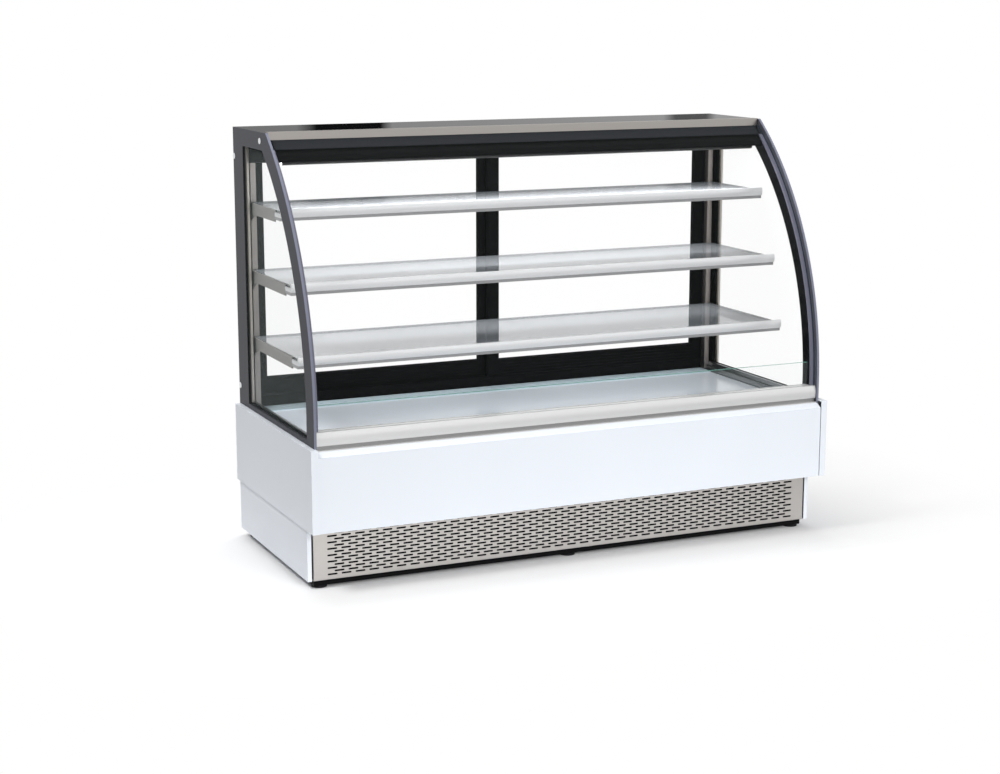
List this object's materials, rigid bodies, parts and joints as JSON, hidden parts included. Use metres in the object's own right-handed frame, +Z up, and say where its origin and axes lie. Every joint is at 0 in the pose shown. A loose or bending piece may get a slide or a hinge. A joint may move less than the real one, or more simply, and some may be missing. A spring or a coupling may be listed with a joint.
{
  "type": "refrigerated cake display cabinet",
  "caption": "Curved-glass refrigerated cake display cabinet with a white skirt, slotted plinth, glass shelves on rounded rails and sliding rear doors.",
  "frame": {"origin": "on the floor under the middle of the cabinet", "axes": "+X along the cabinet, -Y towards the customer, +Z up"},
  "size_m": [1.8, 0.775, 1.355],
  "materials": {
    "white_steel": "gloss white powder coat",
    "black_steel": "satin black paint",
    "stainless": "brushed",
    "galvanised": "galvanised",
    "fin_aluminium": "plain",
    "copper": "drawn copper tube",
    "tank_skin": "foam between thin skins",
    "deck_steel": "gloss pale blue-grey",
    "brushed_aluminium": "satin anodised",
    "upright_aluminium": "satin anodised",
    "bracket_steel": "satin grey",
    "slate_profile": "satin slate grey",
    "grey_trim": "satin",
    "black_profile": "satin black",
    "chrome": "polished",
    "clear_glass": "clear",
    "black_glass": "dark tinted",
    "lamp_diffuser": "opal diffuser",
    "black_plastic": "moulded",
    "grey_plastic": "moulded",
    "red_plastic": "moulded",
    "green_plastic": "moulded"
  },
  "bodies": {
    "cabinet": {"chassis_frame": "black_steel", "levelling_feet": "black_plastic", "base_side_left": "white_steel", "base_side_right": "white_steel", "front_grille": "stainless", "rear_grille": "stainless", "machine_tray": "galvanised", "compressor": "black_steel", "condenser_coil": "fin_aluminium", "condenser_shroud": "galvanised", "condenser_fan_motor": "black_steel", "condensate_pan": "stainless", "electrics_box": "grey_plastic", "cable_gland": "black_plastic", "refrigerant_pipes": "copper", "insulated_tank": "tank_skin", "evaporator_coil": "fin_aluminium", "evaporator_fan_motors": "black_plastic", "deck_panel": "deck_steel", "rear_air_grille": "stainless", "deck_trims": "stainless", "skirt_left": "white_steel", "skirt_right": "white_steel", "front_fascia": "white_steel", "fascia_lip": "white_steel", "front_bumper": "brushed_aluminium", "front_riser_glass": "clear_glass", "side_glass_left": "clear_glass", "side_glass_right": "clear_glass", "side_inner_glass": "clear_glass", "corner_trims": "grey_trim", "glass_fixing_caps": "chrome", "front_glass": "clear_glass", "top_clamp_profile": "slate_profile", "top_front_strip": "brushed_aluminium", "top_glass": "black_glass", "light_header": "black_profile", "led_lamps": "lamp_diffuser", "shelf_glass_top": "clear_glass", "shelf_glass_middle": "clear_glass", "shelf_glass_lower": "clear_glass", "shelf_rail_top": "brushed_aluminium", "shelf_rail_middle": "brushed_aluminium", "shelf_rail_lower": "brushed_aluminium", "shelf_brackets": "bracket_steel", "shelf_uprights": "upright_aluminium", "door_surround": "black_profile", "rear_lower_panel": "white_steel", "controller_panel": "black_plastic"},
    "door_left": {"door_left_frame": "black_profile", "door_left_glass": "clear_glass"},
    "door_right": {"door_right_frame": "black_profile", "door_right_glass": "clear_glass"},
    "condenser_fan": {"condenser_fan_blade": "fin_aluminium"},
    "evaporator_fan_1": {"evaporator_fan_left": "black_plastic"},
    "evaporator_fan_2": {"evaporator_fan_right": "black_plastic"},
    "up_button": {"button_up": "grey_plastic"},
    "down_button": {"button_down": "grey_plastic"},
    "power_rocker": {"rocker_power": "red_plastic"},
    "light_rocker": {"rocker_light": "green_plastic"}
  },
  "joints": [
    {"name": "door_left_slide", "type": "slide", "parent": "cabinet", "child": "door_left", "axis": [1, 0, 0], "range_m": [0, 0.828]},
    {"name": "door_right_slide", "type": "slide", "parent": "cabinet", "child": "door_right", "axis": [1, 0, 0], "range_m": [-0.828, 0]},
    {"name": "condenser_fan_spin", "type": "hinge", "parent": "cabinet", "child": "condenser_fan", "pos_m": [0.06, -0.204, 0.1425], "axis": [0, 1, 0], "continuous": true},
    {"name": "evaporator_fan_left_spin", "type": "hinge", "parent": "cabinet", "child": "evaporator_fan_1", "pos_m": [-0.25, 0.06, 0.364], "axis": [0, 1, 0], "continuous": true},
    {"name": "evaporator_fan_right_spin", "type": "hinge", "parent": "cabinet", "child": "evaporator_fan_2", "pos_m": [0.25, 0.06, 0.364], "axis": [0, 1, 0], "continuous": true},
    {"name": "button_up_press", "type": "slide", "parent": "cabinet", "child": "up_button", "axis": [0, -1, 0], "range_m": [0, 0.0012], "stiffness_N_per_m": 400},
    {"name": "button_down_press", "type": "slide", "parent": "cabinet", "child": "down_button", "axis": [0, -1, 0], "range_m": [0, 0.0012], "stiffness_N_per_m": 400},
    {"name": "rocker_power_tilt", "type": "hinge", "parent": "cabinet", "child": "power_rocker", "pos_m": [-0.518, 0.38325, 0.335], "axis": [1, 0, 0], "range_deg": [0, 14]},
    {"name": "rocker_light_tilt", "type": "hinge", "parent": "cabinet", "child": "light_rocker", "pos_m": [-0.49, 0.38325, 0.335], "axis": [1, 0, 0], "range_deg": [0, 14]}
  ]
}
